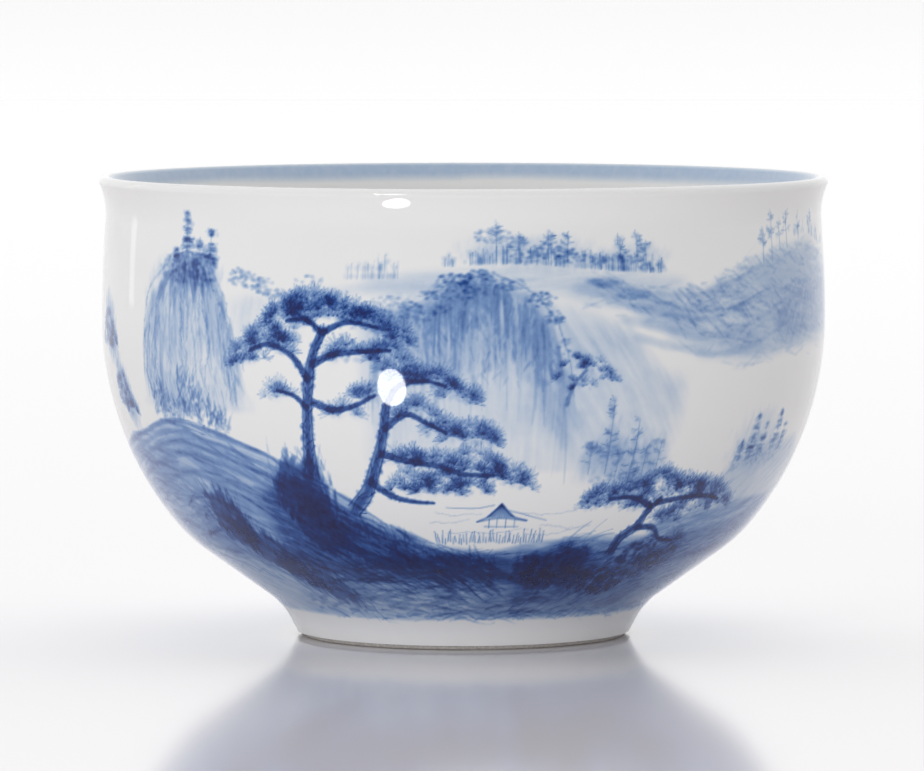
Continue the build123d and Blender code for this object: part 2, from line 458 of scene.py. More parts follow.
slope([(56, 45), (66, 49), (80, 49)], [(56, 38), (80, 40)], 0.5, 58, 84, soft=3.0, angle=60, contrast=0.7,
      along=3)
line([(24, 46.8), (30, 46), (38, 44.4), (46, 44.6), (54, 46.5)], 1.2, 0.5, 0.4, rough=0.5)
for az, z, w, h in [(22, 48.4, 5, 1.2), (27, 46.8, 5, 1.4), (41, 45.6, 7, 2.6), (48, 44.6, 5, 1.4),
                    (64, 46, 9, 3)]:
    dots(az, z, w, h, 60, 0.6, 0.42, flat=1.2)

# ---- The domed crag on the left
dome = [(-61, 33), (-59.4, 42), (-57, 46.6), (-52, 49.8), (-47, 51.8), (-43, 51), (-40, 47), (-37.6, 41),
        (-35, 34)]
slope(dome, [(-61, 31), (-35, 31)], 0.4, -60.5, -36, soft=1.2, fade=0.35, angle=86, contrast=0.7, along=4,
      across=0.9)
fibres([(-59, 45), (-53, 48.8), (-47, 51), (-42, 49.4), (-38, 43)], 14, 34, 0.6, 13, 10, width=0.8)
fibres([(-56, 47), (-49, 50.6), (-43, 50)], 26, 70, 0.7, 5, 10, width=0.7)
for k in np.linspace(-1, 1, 11):
    out = k * (11.4 if k < 0 else 9.4)
    drop = 2.4 * k * k
    line([(-47.4 + out * 0.15, 51.4 - drop * 0.2), (-47.6 + out * 0.55, 50 - drop),
          (-47.8 + out * 0.86, 46.4 - drop),
          (-47.9 + out, 41 - drop), (-48 + out * 1.03, rng.uniform(34, 39) - drop)], 0.8, 0.3,
         rng.uniform(0.25, 0.75), rough=1.8)
strokes(dome, [(-61, 34), (-35, 34)], -59, -37, 380, -88, 2.4, 0.5, 0.38, wander=12)
for az, z, w, h, d in [(-48, 49, 10, 4, 0.5), (-56, 44, 4, 8, 0.3), (-42, 45, 3, 8, 0.25),
                       (-50, 40, 5, 6, 0.2), (-53, 33, 7, 6, 0.4)]:
    pool(az, z, w, h, d, soft=1.2)
line([(-59.4, 36), (-59.4, 42), (-57.4, 46.4), (-53, 49.2), (-48, 51.4)], 0.5, 0.7, 0.6, rough=2.2)
line([(-43, 50.8), (-40, 46.8), (-38, 42), (-36.4, 38)], 0.5, 0.25, 0.7, rough=1.4)
dots(-49.6, 49.4, 8, 3.8, 150, 0.7, 0.8)
dots(-44, 49.4, 5, 4.4, 110, 0.7, 0.9)
for az, z, h in [(-48, 50.6, 6), (-42.6, 49.6, 5), (-45, 50.8, 2.6), (-50.5, 49.6, 2.4)]:
    conifer(az, z, h, 1.25)
for az, z in [(-37, 48.6), (-34.5, 48.2), (-32, 47.6), (-29.5, 46.4), (-27, 45.2)]:
    dots(az, z, 3.0, 2.4, 34, 0.6, 0.75)
slope([(-39, 47), (-33, 47.4), (-27, 45)], [(-39, 36), (-27, 40)], 0.22, -38, -26, soft=2, fade=0.8, angle=80)
for az, z, w, h in [(-57, 32.6, 3.2, 5.4), (-53.4, 31.6, 3.6, 3.6), (-49, 33.6, 3.6, 6.4),
                    (-45.6, 31.4, 3.6, 4), (-42, 30.4, 3, 2.6)]:
    strokes([(az - 3, z + h / 2), (az + 3, z + h / 2 - 1)], [(az - 3, z - h / 2), (az + 3, z - h / 2)],
            az - w * 0.6, az + w * 0.6, int(w * h * 4), 78, 1.7, 0.5, 0.9, wander=22)
    dots(az, z - 0.6, w, h, 34, 0.55, 0.7)

# ---- The cliff in the middle, with moss along its brow
brow = [(-18, 43), (-14, 46), (-9, 45.4), (-5, 46.8), (0, 49.3), (4, 49.6), (9, 47.6), (13, 44.4), (16, 38),
        (18, 33)]
slope(brow, [(-18, 25), (18, 24)], 0.62, -15, 18, soft=1.2, fade=0.7, angle=90, contrast=0.55, along=6,
      across=0.9)
fibres([(-14, 45.4), (-5, 46.5), (2, 49), (8, 47.5), (13, 43.5), (16, 38)], 6, 110, 0.36, 15, 5, width=0.8)
fibres([(-5, 46), (3, 48.8), (11, 45)], 4, 90, 0.45, 7, 4, width=0.8)
line([(4.5, 49.6), (9, 47.6), (13, 44.2), (15.5, 39.5), (17, 34)], 0.5, 0.3, 0.9, rough=1.0)
strokes([(-12, 45), (-4, 46), (3, 48.6), (9, 47), (14, 42)], [(-12, 38), (14, 36)], -12, 14, 300, -88, 1.5,
        0.65, 0.55, wander=18)
for az, z, w, h, n, d in [
    (-1.5, 47.4, 6, 2.6, 80, 1.0), (2.6, 48, 5, 2.4, 60, 0.9), (-7, 44.6, 5, 2.2, 50, 0.9),
    (-10.6, 44.8, 4, 2, 36, 0.7), (-1.5, 48.8, 4.4, 1.5, 60, 1.1), (2.6, 49.4, 4, 1.3, 55, 1.2),
    (-5, 46.9, 3, 1.1, 34, 0.9), (-3.2, 45.2, 3, 1.2, 30, 0.7), (-8, 45.5, 3, 1.2, 30, 0.8),
    (-11.5, 46.2, 5, 1.1, 34, 0.5), (7, 48.2, 4, 1.5, 44, 1.0), (12, 46.3, 3.6, 2, 46, 1.3),
    (14, 44, 2.6, 1.8, 32, 1.2), (15.5, 40.5, 2, 2, 20, 0.7),
]:
    dots(az, z, w, h, n, 0.5, d)
slope([(8, 49), (16, 47), (24, 45), (34, 38)], [(8, 30), (20, 24), (34, 26)], 0.52, 10, 36, soft=4, fade=0.6,
      angle=-56, contrast=0.7, along=6, across=0.9)
for az, z, w, h, d in [(-6, 44.6, 9, 4, 0.55), (0, 47, 8, 3.2, 0.6), (6, 44, 8, 8, 0.35),
                       (11, 41, 5, 8, 0.4), (-2, 39, 8, 6, 0.25)]:
    pool(az, z, w, h, d, soft=1.2)
for az, z, w, h in [(17, 38.4, 3, 2), (20, 37.8, 4, 2.2), (22.5, 36.6, 3, 1.6), (18.5, 35.8, 3, 1.6),
                    (15.5, 36.6, 2.6, 1.6)]:
    foliage(az, z - 0.8, w, h, depth=0.75, needle=0.9)
limb([(16, 33), (17, 35.5), (19, 37.5)], 0.5, 0.3, 1.0)

# ---- Trees along the ridge behind it
crest = [(-16, 49), (-4, 50.6), (3, 51), (10, 51), (18, 50.4), (24, 50), (31, 49.6), (45, 50.4), (60, 53),
         (75, 53)]
tree_row(-18, -10, [(-18, 49), (-10, 49.2)], 2.8, 22, 0.5)
slope([(-30, 46.4), (-22, 48.2), (-14, 49.2), (-6, 49.6)], [(-30, 45), (-6, 46.4)], 0.3, -28, -6, soft=1.8,
      fade=0.7)
dots(-24, 48.6, 4, 1.0, 16, 0.5, 0.6)
tree_row(-3, 4, crest, 1.8, 14, 0.9)
tree_row(3, 32, crest, 2.2, 70, 1.0)
for az, z, w, h in [(5, 52.6, 8, 3), (13, 52, 10, 3.6), (21, 51, 8, 2), (27, 51.4, 8, 3)]:
    pool(az, z, w, h, 0.28, soft=1.2)
for az, z, w, h, n, d in [
    (4.5, 54.2, 5, 1.8, 50, 0.75), (8.4, 53.2, 3, 1.8, 34, 0.7), (10, 51.5, 5, 1.6, 44, 0.9),
    (13.5, 52.4, 5, 2.2, 66, 1.1), (16.5, 51.6, 4, 1.8, 46, 1.1), (21, 51.2, 3, 1.4, 30, 0.9),
    (26, 51.4, 5, 1.8, 50, 1.0), (30, 50.2, 4, 1.0, 26, 0.7),
]:
    dots(az, z, w, h, n, 0.5, d)
for az, z, h in [(5, 51, 4.4), (8.5, 51, 3.4), (13, 51, 4), (16, 50.8, 3.4), (24.5, 50, 3.6), (27.5, 50, 4),
                 (29, 50, 3)]:
    thin_tree(az, z, h, 1.0)
for az, z, h in [(54, 49.5, 5), (56.5, 50, 6), (59, 51.4, 3.4), (61.5, 51.4, 4.6), (66, 52.5, 3),
                 (72, 52.6, 3.6)]:
    thin_tree(az, z, h, 0.85)
tree_row(64, 108, far_top, 1.8, 50, 0.7)

# ---- Trees standing in the mist on the right
slope([(18, 28), (24, 29.5), (36, 27.5)], [(18, 22), (36, 22)], 0.3, 19, 35, soft=2.5, angle=80, contrast=0.5)
for az, z, h, d in [(21, 24, 4.4, 0.9), (24, 24, 9.6, 1.25), (26, 22.5, 5, 0.8), (28.6, 21.5, 9.5, 1.2),
                    (31, 22.5, 5, 0.8), (33.5, 23.5, 4.5, 0.7)]:
    thin_tree(az, z, h, d, crown=0.75)
for az, z, w, h, d in [(24.4, 27, 3.5, 7, 0.4), (29, 25, 6, 7, 0.45), (21, 26, 3, 4, 0.3),
                       (33, 26.6, 4, 4, 0.3)]:
    pool(az, z, w, h, d, soft=1.0)
for az, z, w, h, n, d in [(21, 27.6, 3, 1.4, 26, 0.6), (24.4, 26.5, 4, 3, 44, 0.4),
                          (33, 27.6, 3, 1.6, 28, 0.45), (29, 26, 5, 3, 40, 0.35),
                          (27, 23.4, 10, 1.6, 60, 0.35)]:
    dots(az, z, w, h, n, 0.6, d)
slope([(44, 21), (52, 25), (60, 27.5), (72, 28), (84, 25)], [(44, 16), (84, 17)], 0.55, 47, 82, soft=2.6,
      fade=0.3, angle=30, contrast=0.6)
slope([(36, 18.4), (48, 19), (62, 20), (74, 20)], [(36, 11), (74, 11)], 1.15, 38, 74, soft=1.4, angle=16,
      contrast=0.7)
for az, z, h, d in [(52.5, 23, 4.6, 0.8), (55.5, 24, 7, 1.0), (58.5, 24.5, 5, 0.8), (63, 25, 6, 0.9),
                    (66, 25, 4.4, 0.7)]:
    conifer(az, z, h, d)
dots(59, 24.6, 14, 1.4, 60, 0.6, 0.4)
pool(57, 26.5, 10, 7, 0.35, soft=1.4)

# ---- Open water with the pavilion on its bank
for low, high, z in [(-5, 3, 19.4), (10, 20, 19.2), (-6, 1, 18), (14, 24, 17.6), (-3, 12, 16.6),
                     (12, 22, 16.4)]:
    line([(low, z), ((low + high) / 2, z - 0.2), (high, z + 0.1)], 0.25, 0.2, 0.45, rough=1.0)
line([(2.4, 18.1), (4.6, 18.9), (6.6, 20.5)], 0.3, 0.3, 2.6)
line([(6.7, 20.5), (8.6, 18.9), (11.4, 18.2)], 0.3, 0.35, 2.6)
line([(2.4, 18.1), (6.6, 18.6), (11.4, 18.2)], 0.3, 0.3, 2.0)
line([(-3, 20.0), (2, 19.9), (5.4, 20.3)], 0.2, 0.25, 1.2)
line([(8, 19.6), (11, 19), (15, 18.2)], 0.25, 0.2, 1.4)
for k in np.linspace(0, 1, 12):
    line([(6.65, 20.4), (4.2 + 4.8 * k, 18.7)], 0.3, 0.45, 2.2)
for az in (4.6, 6.0, 7.6, 9.2):
    line([(az, 18.5), (az, 17.3)], 0.25, 0.2, 1.8)
line([(3.8, 17.5), (10, 17.4)], 0.25, 0.2, 1.4)
for az in np.linspace(-5, 15, 40):
    hairs(az * MM_PER_DEGREE, 15.2 + rng.uniform(-0.2, 0.2), 90 + rng.uniform(-14, 14),
          rng.uniform(0.8, 1.9), 0.34, 1.9)

# ---- The near slope that runs right round the foot of the picture
near = [(-180, 16), (-165, 17.4), (-150, 21), (-125, 19), (-100, 22.5), (-85, 25), (-68, 28), (-55, 30.4),
        (-45, 29.4), (-38, 27.8), (-30, 25.4), (-22, 22), (-14, 18), (-5, 15.2), (5, 14.6), (15, 15.8),
        (25, 16.4), (34, 16), (45, 15.5), (60, 17), (75, 19), (95, 15.5), (120, 17.5), (150, 15), (168, 15),
        (180, 16)]
foot = [(-180, 3.8), (-60, 3.9), (-20, 3.7), (0, 4.0), (30, 3.8), (180, 3.8)]
slope(near, foot, 0.95, -190, 190, soft=0.8, angle=-12, contrast=0.55, along=5, across=0.45)
bank = [(-68, 27), (-55, 29), (-45, 28), (-30, 24), (-18, 19), (-8, 14), (0, 12)]
slope(bank, [(-70, 12), (-40, 9), (0, 8)], 0.5, -72, -3, soft=2.0, angle=-24, contrast=0.95, along=6,
      across=0.7)
strokes(near, [(-175, 9), (175, 9)], -80, -22, 190, 0, 6.5, 0.42, 0.95, follow=1.0, bend=-12, wander=6)
strokes(near, [(-175, 13), (-30, 11)], -78, -26, 150, -4, 8.5, 0.95, 0.95, follow=1.0, bend=-16, wander=4)
strokes([(-34, 25), (-14, 18), (0, 14.5), (8, 13)], [(-34, 9), (8, 9)], -32, 6, 330, -30, 5.0, 0.5, 1.5,
        wander=6, bend=10)
slope([(-44, 20), (-30, 24), (-14, 17.5), (0, 14.4), (12, 14), (26, 15)], [(-44, 10), (-20, 9.5), (26, 9)],
      2.3, -38, 26, soft=1.6, angle=-14, contrast=0.6, along=5, across=0.4)
for step, d in ((0.6, 1.5), (1.7, 1.0), (3.2, 0.9), (5.0, 0.8), (7.4, 0.6)):
    line([(a, z - step) for a, z in near if -86 < a < -10], 1.3, 0.6, d, rough=0.35)
slope([(-2, 12), (20, 12), (50, 13), (70, 14)], [(-2, 4), (70, 4)], 0.95, 4, 66, soft=1.4, angle=10,
      contrast=0.6)
water = [(-30, 12.4), (-10, 14.2), (5, 14.4), (22, 14.8), (32, 14)]
slope(water, [(-30, 8.8), (0, 9.4), (32, 8)], 1.2, -27, 30, soft=1.0, angle=4, contrast=1.0, along=8,
      across=0.35)
strokes(water, [(-30, 9), (30, 9)], -26, 28, 130, 2, 5.0, 0.3, 1.1, wander=4, bend=6)
rock = [(-48, 9), (-30, 9.6), (-12, 9.8), (0, 9.2), (16, 8)]
strokes(rock, foot, -48, 18, 150, 14, 4.6, 0.7, 1.1, wander=6, bend=-22)
strokes(rock, foot, -40, 16, 90, 8, 8.0, 0.45, 1.0, wander=5, bend=-14)
for k, drop in enumerate(np.arange(0.0, 5.0, 0.9)):
    line([(-40 + 3 * k, 8.6 - drop * 0.5), (-26 + 3 * k, 10 - drop), (-12 + 2 * k, 9.4 - drop),
          (0 + k, 7.6 - drop * 0.8), (10, 6.0 - drop * 0.4)], 0.9, 0.4, rng.uniform(0.5, 1.1), rough=0.8)
line([(-34, 9.2), (-22, 10), (-12, 9.4), (-2, 8), (8, 6.6)], 0.6, 0.3, 1.6, rough=1.2)
line([(-12, 12.6), (-6, 12.6), (0, 11.8), (6, 10.6)], 0.7, 0.3, 1.5, rough=1.2)
for az, z, w, h, d, tilt in [
    (-28.6, 21.8, 8.5, 8.5, 3.2, 0), (-27, 17, 8, 6.5, 2.2, -0.2), (-48.6, 17, 7.5, 7.5, 3.4, -0.2),
    (-43, 13, 10, 6.5, 3.0, -0.45), (-36, 9.2, 13, 5, 2.4, -0.35), (-18, 14.6, 13, 5.5, 1.4, -0.3),
    (-3, 11.6, 16, 4, 0.9, -0.1), (-56, 15, 6, 5, 0.5, 0),
]:
    pool(az, z, w, h, d, tilt=tilt)
    strokes([(az - 9, z + h * 0.62 - tilt * 5), (az + 9, z + h * 0.5 + tilt * 5)],
            [(az - 9, z - h * 0.3), (az + 9, z - h * 0.3)],
            az - w * 0.62, az + w * 0.62, int(w * h * 1.6), 96, 1.8, 0.45, 1.0, wander=24)
strokes([(-60, 22), (-50, 21), (-40, 15), (-30, 12)], [(-60, 10), (-30, 6)], -60, -28, 220, -38, 4.0, 0.5,
        0.9, wander=10)

# ---- The wooded bank on the right
wood = [(13, 14.4), (20, 16), (27, 15.6), (34, 15.2), (42, 14.6), (50, 14.4), (58, 15.6)]
slope(wood, [(13, 6), (60, 5)], 1.3, 12, 50, soft=1.0, angle=20, contrast=0.6, along=3, across=0.6)
strokes(wood, foot, 12, 60, 520, 24, 3.6, 0.36, 1.1, wander=14, bend=-24)
for az in np.arange(13, 48, 2.6):
    z = rng.uniform(8.5, 13.5)
    dots(az, z, 4.5, 3.4, 80, 0.6, 1.5)
    foliage(az, z + 0.6, 4, 1.8, depth=0.8, needle=0.8)
dots(36.5, 9.2, 8, 3.8, 190, 0.9, 1.6, flat=0.4)
dots(18, 11, 14, 5, 300, 0.8, 1.3, flat=0.6)
strokes([(38, 18.5), (60, 18.5)], [(38, 12), (60, 11)], 38, 64, 110, 12, 6.0, 0.45, 0.55, wander=6, bend=-10)

# ---- The two pines in the middle and the leaning one on the right
pines = [
    (
        [
            ([(-26, 23.5), (-25.4, 29), (-24.7, 34), (-23.6, 39), (-21.6, 42.6)], 2.3, 1.0),
            ([(-24.3, 36), (-27, 39), (-31, 40.4), (-34.5, 39.6)], 1.0, 0.35),
            ([(-23.8, 38), (-20, 39.4), (-15, 39.8), (-11, 40)], 0.95, 0.3),
            ([(-24.2, 33.4), (-20.5, 32.4), (-17, 33), (-13.6, 34.4)], 0.95, 0.3),
            ([(-24.8, 32.4), (-27, 34), (-30, 34.6)], 0.7, 0.25),
            ([(-22, 42), (-18, 43.4), (-13, 42.8)], 0.8, 0.3),
            ([(-22, 42), (-24.5, 43.6), (-28, 43.4)], 0.8, 0.3),
        ],
        [
            (-35, 38.2, 4.6, 2.6, 0.2), (-32, 40.4, 5, 2.8, 0.2), (-28, 42.6, 6, 3, 0.15),
            (-23.8, 44.2, 6.5, 3.2, 0), (-19, 43.8, 6, 2.8, -0.1), (-14.5, 42.4, 5.6, 2.6, -0.2),
            (-10.6, 41.2, 4, 2, -0.25), (-28.4, 39.4, 4, 1.8, 0.1), (-17.8, 38.8, 5.4, 2, 0),
            (-11.6, 38.8, 4.6, 2, -0.1), (-30, 33.8, 3.4, 1.7, 0), (-14.6, 33.8, 4.4, 1.8, -0.1),
            (-19, 31.6, 3.6, 1.5, 0),
        ],
        0.74,
    ),
    (
        [
            ([(-19.6, 19.4), (-16.6, 21.8), (-14.6, 25), (-13, 28.6), (-12, 33)], 2.4, 1.0),
            ([(-12, 33), (-10, 35.5), (-6, 36.2), (-2.6, 35.6)], 0.85, 0.3),
            ([(-12.6, 30), (-9, 32), (-6, 31), (-2.6, 29.6)], 0.85, 0.3),
            ([(-13.6, 27), (-9, 26), (-4, 25.4), (0, 24.4), (5, 24.2)], 0.95, 0.35),
            ([(-15.8, 23.4), (-12.6, 21.6), (-9, 20.8), (-5, 20.6)], 1.0, 0.15),
        ],
        [
            (-10, 36.2, 4.8, 2.4, 0), (-5, 35.6, 5.4, 2.4, -0.1), (-0.8, 33.8, 4.4, 2.2, -0.2),
            (-7, 31.8, 4.6, 1.8, 0), (1, 28.4, 6.6, 2.6, -0.05), (-3.6, 29.4, 4, 1.8, 0),
            (-9.6, 26, 3.8, 1.6, 0), (-4.8, 25.4, 4.8, 2, 0), (1.6, 24.4, 7.4, 2.8, -0.05),
            (7.6, 23, 6, 2.4, -0.15), (-9, 22.4, 5, 2.2, 0), (-4, 22, 6, 2.4, 0), (1, 21.8, 5, 1.8, 0),
        ],
        0.74,
    ),
    (
        [
            ([(30.6, 13.2), (31.2, 15.4), (34, 17), (34.8, 18.8), (37, 20.6)], 1.9, 0.8),
            ([(35.4, 19.4), (31, 20.8), (26, 20.8)], 0.8, 0.3),
            ([(36, 20), (42, 20.4), (48, 20.4), (52, 19.8)], 0.8, 0.3),
            ([(33.8, 16.8), (38, 16.6), (41, 15), (45, 14.6)], 0.8, 0.2),
        ],
        [
            (24.5, 19.8, 5.4, 2.3, 0.1), (30, 20.8, 5.6, 2.4, 0.05), (35.6, 21.6, 6, 2.4, 0),
            (41.8, 21, 6, 2.4, 0), (48, 20.2, 5.6, 2.3, -0.1), (53, 19, 4, 1.9, -0.15),
            (45, 14.2, 4, 1.5, 0), (40, 17.2, 5, 1.6, 0), (33, 19.4, 5, 1.8, 0), (45, 18.6, 7, 2, 0),
        ],
        0.8,
    ),
]


def pine(limbs, pads, depth, moved=0.0):
    """A pine from its limbs and its pads of needles, moved round the cup by an azimuth."""
    for points, start, end in limbs:
        limb([(a + moved, z) for a, z in points], start, end, depth * 4.2)
    for az, z, width, height, tilt in pads:
        foliage(az + moved, z - 0.1 * height, width * 1.12, height * 1.25, tilt, depth)


for limbs, pads, depth in pines:
    pine(limbs, pads, depth)

# ---- Round the back: lower hills, more pines on the near slope, and boats on the water
back_hills = [(-178, 31.5), (-170, 34.5), (-155, 40), (-140, 44), (-124, 47), (-112, 43.5), (-100, 45.5),
              (-88, 44), (-80, 39)]
slope(back_hills, [(-178, 31), (-125, 32), (-80, 31)], 0.75, -178, -84, soft=1.4, fade=0.6, angle=75,
      contrast=0.55, along=5, across=0.6)
strokes(back_hills, [(-178, 32), (-125, 35), (-80, 33)], -172, -84, 420, -84, 2.2, 0.6, 0.5, wander=20)
tree_row(-164, -90, back_hills, 2.0, 70, 0.9)
for az, z, w, h in [(-76, 41, 6, 5), (-73, 39.5, 4, 3), (-70.5, 33.5, 4.6, 5), (-68, 31.5, 4, 3)]:
    foliage(az, z - h / 2, w, h, depth=0.8, needle=1.1)
pool(-74.5, 41, 5.5, 7, 0.9, soft=0.9, tilt=-0.6)
pool(-69.5, 33, 4.6, 7, 1.0, soft=0.9, tilt=-0.9)
for source, moved in ((1, -118.0), (2, 98.0), (1, 165.0), (2, -146.0)):
    pine(*pines[source], moved=moved)
for low, high in ((-180, -82), (62, 180)):
    strokes(near, foot, low, high, 900, -6, 5.0, 0.34, 1.1, follow=1.0, bend=-14, wander=9)
    for az in np.arange(low + 4, high, 7.0):
        dots(az, rng.uniform(7, 13), 6, 4, 90, 0.65, 0.95, flat=0.7)
for az, z, h in [(84, 17.5, 6), (88, 17, 7), (92, 16.5, 5), (150, 15, 7), (154, 15, 5.5), (-92, 24, 6),
                 (-96, 23.5, 5)]:
    conifer(az, z, h, 1.2)
for az, z in ((108, 25), (118, 27.5), (-108, 29)):
    line([(az - 2.6, z + 0.3), (az, z - 0.25), (az + 2.8, z + 0.45)], 0.4, 0.3, 1.6)
    line([(az + 0.4, z), (az + 0.4, z + 3)], 0.25, 0.18, 1.2)
for az, z in ((100, 24), (112, 23), (126, 25), (-114, 27), (-102, 27.6)):
    line([(az - 4, z), (az, z - 0.15), (az + 4, z)], 0.2, 0.2, 0.35, rough=1.0)

# The paint stops short of the foot, and pigment laid over pigment nears a deepest tone
DEEPEST = 5.0
bare_foot_mm = 3.2
bare_edge_mm = 0.9
cobalt = (washes + lay_dabs()) * smooth((grid_z - bare_foot_mm) / bare_edge_mm)
cobalt = DEEPEST * (1 - np.exp(-cobalt / DEEPEST))


def bristle(height_mm, azimuth_mm):
    """The painting's depth at points of the wall, between the dots of the canvas."""
    u = (azimuth_mm + math.pi * girth_mm) * DOTS_PER_MM - 0.5
    v = np.clip(height_mm * DOTS_PER_MM - 0.5, 0, canvas_height - 1.001)
    iu, iv = np.floor(u).astype(int), np.floor(v).astype(int)
    fu, fv = u - iu, v - iv
    a, b = iu % canvas_width, (iu + 1) % canvas_width
    low = cobalt[iv, a] * (1 - fu) + cobalt[iv, b] * fu
    high = cobalt[iv + 1, a] * (1 - fu) + cobalt[iv + 1, b] * fu
    return low * (1 - fv) + high * fv


def paint(piece, depth_at):
    """Stores the depth of cobalt at every point of a piece, from its radius, azimuth and height."""
    mesh = piece.data
    co = np.empty(len(mesh.vertices) * 3, np.float32)
    mesh.vertices.foreach_get("co", co)
    x, y, z = co.reshape(-1, 3).T / MM
    depth = depth_at(np.hypot(x, y), np.arctan2(x, -y), z)
    mesh.attributes.new("cobalt", "FLOAT", "POINT").data.foreach_set("value", depth.astype(np.float32))


# ---- Materials
# Cobalt over porcelain from a thin wash to a pool, as (share of the deepest, colour)
COBALT = [
    (0.0, (0.80, 0.80, 0.795)),
    (0.05, (0.615, 0.67, 0.74)),
    (0.13, (0.40, 0.505, 0.66)),
    (0.28, (0.175, 0.295, 0.53)),
    (0.54, (0.030, 0.092, 0.31)),
    (0.72, (0.007, 0.027, 0.15)),
    (0.92, (0.010, 0.009, 0.06)),
]


def node(tree, kind, **values):
    """Adds a node, setting attributes of the node by name and input sockets by '_Name'."""
    made = tree.nodes.new(kind)
    for key, value in values.items():
        if key.startswith("_"):
            made.inputs[key[1:].replace("_", " ")].default_value = value
        else:
            setattr(made, key, value)
    return made


def ceramic(name, roughness, coat, ripple, painted=False, tones=None, speck=900.0):
    """Fired ceramic. painted reads the depth of cobalt; tones are the two colours it wanders between."""
    material = bpy.data.materials.new(name)
    material.use_nodes = True
    tree = material.node_tree
    shader = tree.nodes["Principled BSDF"]
    link = tree.links.new
    place = node(tree, "ShaderNodeTexCoord")
    mottle = node(tree, "ShaderNodeTexNoise", _Scale=speck, _Detail=4.0, _Roughness=0.6)
    link(place.outputs["Object"], mottle.inputs["Vector"])
    ramp = node(tree, "ShaderNodeValToRGB")
    if painted:
        depth = node(tree, "ShaderNodeAttribute", attribute_name="cobalt")
        pooling = node(tree, "ShaderNodeMapRange")
        pooling.inputs["From Min"].default_value = 0.3
        pooling.inputs["From Max"].default_value = 0.7
        pooling.inputs["To Min"].default_value = 0.9 / DEEPEST
        pooling.inputs["To Max"].default_value = 1.1 / DEEPEST
        link(mottle.outputs["Fac"], pooling.inputs["Value"])
        share = node(tree, "ShaderNodeMath", operation="MULTIPLY")
        link(depth.outputs["Fac"], share.inputs[0])
        link(pooling.outputs["Result"], share.inputs[1])
        stops = COBALT
        link(share.outputs["Value"], ramp.inputs["Fac"])
    else:
        stops = [(0.35, tones[0]), (0.65, tones[1])]
        link(mottle.outputs["Fac"], ramp.inputs["Fac"])
    while len(ramp.color_ramp.elements) < len(stops):
        ramp.color_ramp.elements.new(0.5)
    for element, (place_at, colour) in zip(ramp.color_ramp.elements, stops):
        element.position = place_at
        element.color = (*colour, 1.0)
    link(ramp.outputs["Color"], shader.inputs["Base Color"])
    sheen = node(tree, "ShaderNodeTexNoise", _Scale=140.0, _Detail=3.0)
    link(place.outputs["Object"], sheen.inputs["Vector"])
    polish = node(tree, "ShaderNodeMapRange")
    polish.inputs["To Min"].default_value = roughness * 0.8
    polish.inputs["To Max"].default_value = roughness * 1.2
    link(sheen.outputs["Fac"], polish.inputs["Value"])
    link(polish.outputs["Result"], shader.inputs["Roughness"])
    relief = node(tree, "ShaderNodeBump", _Strength=ripple, _Distance=0.0001)
    link(sheen.outputs["Fac"] if coat else mottle.outputs["Fac"], relief.inputs["Height"])
    link(relief.outputs["Normal"], shader.inputs["Normal"])
    shader.inputs["Coat Weight"].default_value = coat
    shader.inputs["Coat Roughness"].default_value = 0.03
    shader.inputs["IOR"].default_value = 1.46
    return material


cobalt_glaze = ceramic("cobalt_under_glaze", 0.05, 0.15, 0.06, painted=True)
white_glaze = ceramic("clear_glaze", 0.05, 0.15, 0.06, tones=[(0.78, 0.78, 0.775), (0.82, 0.82, 0.815)])
biscuit = ceramic("bare_biscuit", 0.75, 0.0, 0.6, tones=[(0.40, 0.375, 0.35), (0.56, 0.54, 0.52)],
                  speck=2600.0)
clay = ceramic("porcelain_clay", 0.55, 0.0, 0.3, tones=[(0.70, 0.695, 0.685), (0.76, 0.755, 0.745)],
               speck=1800.0)

# ---- The turned pieces
columns = 1800
row_mm = 0.17
wall_line = trace(lip_centre + lip_outward * lip_roll_mm, downward, outside, row_mm)
wall = lathe("painted_wall", thicken(*wall_line, GLAZE_MM, 60), columns,
             "cobalt_painting", "landscape_painting", "outer_glaze")
paint(wall, lambda r, turn, z: bristle(z, turn * girth_mm))
wall.data.materials.append(cobalt_glaze)

bead_line = trace(lip_centre - lip_outward * lip_roll_mm, lip_lean, [(lip_roll_mm, -180.0)], 0.05)
bead = lathe("lip_bead", thicken(*bead_line, GLAZE_MM, 24), 720, "lip_clear_glaze", "lip_glaze")

well_points, well_headings = trace(lip_centre - lip_outward * lip_roll_mm, downward, inside, 0.2)
floor_radius = well_points[-1][0] / math.sin(math.radians(-floor_turn))
floor_points, floor_headings = trace(well_points[-1], 180.0 - floor_turn, [(floor_radius, floor_turn)], 0.4)
floor_points[-1][0] = 0.0
well_line = np.vstack([well_points, floor_points[1:]]), np.concatenate([well_headings, floor_headings[1:]])
well = lathe("tea_well", thicken(*well_line, -GLAZE_MM, 80), 720, "inner_clear_glaze", "inner_rim_band",
             "inner_glaze")


rim_line_mm, rim_line_fade_mm, rim_line_depth = 2.7, 1.5, 0.62


def rim_line(r, turn, z):
    """A soft cobalt line inside the lip, a little uneven as a brush on a wheel leaves it."""
    sag = 0.3 * (noise(turn * 3 + 40, turn * 0) - 0.5)
    below = cup_mm - z + sag
    inside_lip = smooth((lip_centre[0] - r - 0.05) / 0.7)
    return rim_line_depth * smooth((rim_line_mm - below) / rim_line_fade_mm) * inside_lip


paint(bead, rim_line)
bead.data.materials.append(cobalt_glaze)
paint(well, rim_line)
well.data.materials.append(cobalt_glaze)

recess_line = trace(
    (recess_radius, recess_edge), 90.0,
    [(recess_top - recess_corner - recess_edge, 0), (recess_corner, 90.0),
     (recess_radius - recess_corner, 0)], 0.2,
)
recess_line[0][-1][0] = 0.0
under = lathe("foot_well", thicken(*recess_line, GLAZE_MM, 60), 360, "foot_clear_glaze", "foot_well_glaze")
under.data.materials.append(white_glaze)

